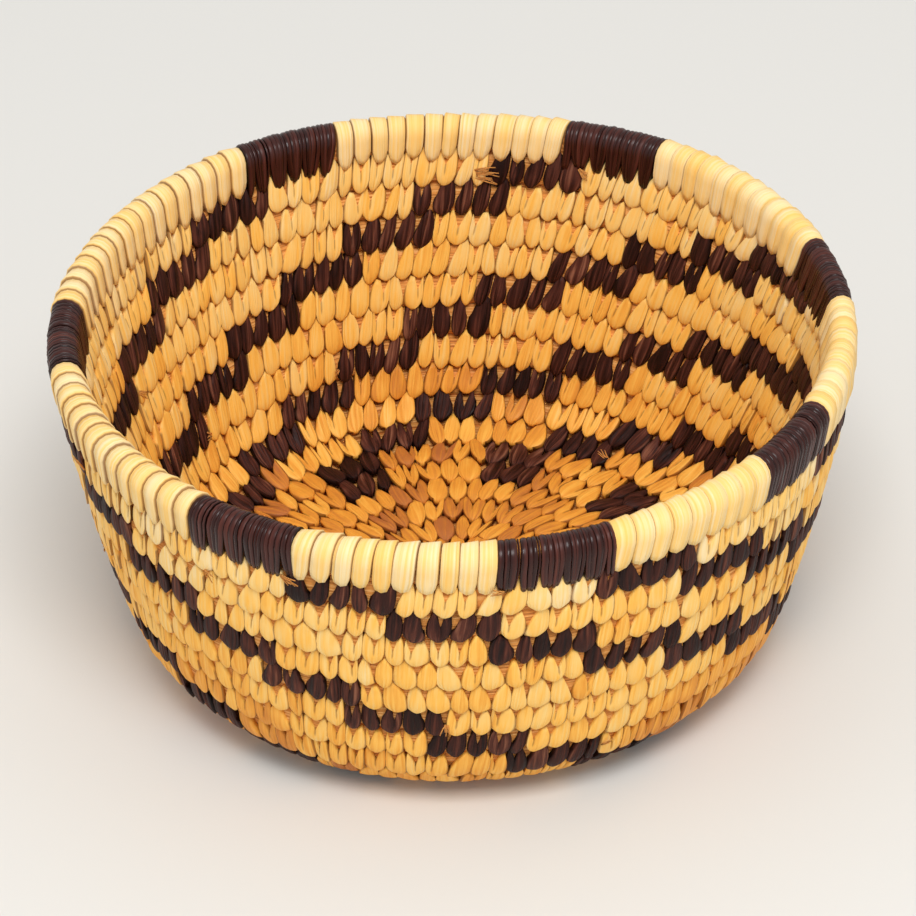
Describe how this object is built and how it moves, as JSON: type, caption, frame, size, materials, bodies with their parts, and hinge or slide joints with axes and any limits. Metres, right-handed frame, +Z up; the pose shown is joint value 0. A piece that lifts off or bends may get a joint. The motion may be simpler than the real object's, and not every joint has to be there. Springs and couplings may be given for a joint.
{
  "type": "coiled bowl basket",
  "caption": "Deep round coiled bowl basket with a flat base, a slightly flared wall, and dark stitched arms that step spirally round it.",
  "frame": {"origin": "on the basket's axis, in the plane that the base stands on", "axes": "+Z up along the axis; azimuth counts from +X anticlockwise seen from above; the picture looks along +Y from -Y"},
  "size_m": [0.1783, 0.1796, 0.0821],
  "materials": {
    "pale_leaf": "pale golden split leaf, satin, in flat straps with fine lengthwise grain",
    "dark_leaf": "purple-black split leaf, semi-gloss, in narrow ridged straps",
    "grass_bundle": "matt tan-orange bundle of loose grass stems"
  },
  "bodies": {
    "root": {"centre_stitches": "pale_leaf", "dark_arm_1": "dark_leaf", "dark_arm_2": "dark_leaf", "dark_arm_3": "dark_leaf", "dark_arm_4": "dark_leaf", "dark_arm_5": "dark_leaf", "dark_arm_6": "dark_leaf", "dark_arm_7": "dark_leaf", "dark_rim_1": "dark_leaf", "dark_rim_2": "dark_leaf", "dark_rim_3": "dark_leaf", "dark_rim_4": "dark_leaf", "dark_rim_5": "dark_leaf", "dark_rim_6": "dark_leaf", "dark_rim_7": "dark_leaf", "foundation_coil": "grass_bundle", "light_field_1": "pale_leaf", "light_field_2": "pale_leaf", "light_field_3": "pale_leaf", "light_field_4": "pale_leaf", "light_field_5": "pale_leaf", "light_field_6": "pale_leaf", "light_field_7": "pale_leaf", "light_rim_1": "pale_leaf", "light_rim_2": "pale_leaf", "light_rim_3": "pale_leaf", "light_rim_4": "pale_leaf", "light_rim_5": "pale_leaf", "light_rim_6": "pale_leaf", "light_rim_7": "pale_leaf", "start_knot": "grass_bundle"}
  },
  "joints": []
}
